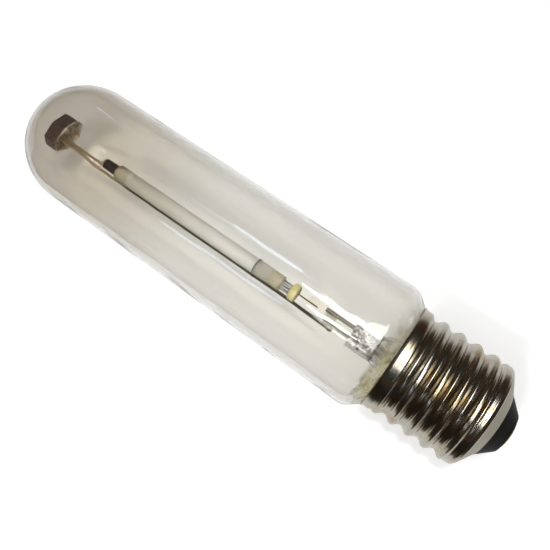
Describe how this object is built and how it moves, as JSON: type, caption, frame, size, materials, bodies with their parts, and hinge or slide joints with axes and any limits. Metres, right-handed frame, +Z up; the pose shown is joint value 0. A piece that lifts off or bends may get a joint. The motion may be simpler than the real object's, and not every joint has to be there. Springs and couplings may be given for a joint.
{
  "type": "high pressure sodium lamp",
  "caption": "Tubular clear high pressure sodium lamp with a ceramic arc tube on a wire mount, black insulator and E40 screw cap.",
  "frame": {"origin": "centre of the centre contact's end face, on the lamp's axis", "axes": "+X along the lamp's axis, out of the cap's end, away from the dome; +Z up, with the lamp lying on its side"},
  "size_m": [0.2083, 0.048, 0.048],
  "materials": {
    "clear_glass": "clear blown glass, polished",
    "press_glass": "clear pressed glass, rippled",
    "plated_brass": "nickel-plated brass, bright, rolled",
    "contact_brass": "brass, plain",
    "solder": "soft solder, dull bright",
    "cement": "baked capping cement, matte",
    "black_glass": "black insulating glass, smooth",
    "post_metal": "nickel-plated steel wire, bright",
    "seal_metal": "copper-clad wire, amber through the glass",
    "lead_wire": "copper wire",
    "strap_metal": "bright ribbon and fine wire",
    "bead_ceramic": "yellow-green unglazed ceramic",
    "niobium_bright": "drawn niobium, bright",
    "niobium_dark": "niobium, dark brown-grey",
    "alumina": "translucent sintered alumina",
    "plug_alumina": "sintered alumina",
    "frit_glass": "sealing frit",
    "tungsten": "tungsten",
    "frame_steel": "drawn steel rod, brownish",
    "band_steel": "dark strip steel, satin"
  },
  "bodies": {
    "root": {"outer_bulb": "clear_glass", "glass_stem": "press_glass", "exhaust_tube": "press_glass", "cap_shell": "plated_brass", "capping_cement": "cement", "cap_insulator": "black_glass", "centre_contact": "contact_brass", "contact_solder": "solder", "centre_lead": "lead_wire", "side_lead": "lead_wire", "side_solder": "solder", "post_a": "post_metal", "post_b": "post_metal", "lead_seals": "seal_metal", "feed_strap": "strap_metal", "feed_wire": "strap_metal", "insulator_bead": "bead_ceramic", "base_niobium": "niobium_bright", "top_niobium": "niobium_dark", "arc_tube": "alumina", "base_plug": "plug_alumina", "top_plug": "plug_alumina", "base_frit": "frit_glass", "top_frit": "frit_glass", "base_electrode": "tungsten", "top_electrode": "tungsten", "base_coil": "tungsten", "top_coil": "tungsten", "tie_wire": "frame_steel", "frame_rod": "frame_steel", "rod_weld": "frame_steel", "top_pin": "frame_steel", "top_strap": "frame_steel", "top_band": "band_steel"}
  },
  "joints": []
}
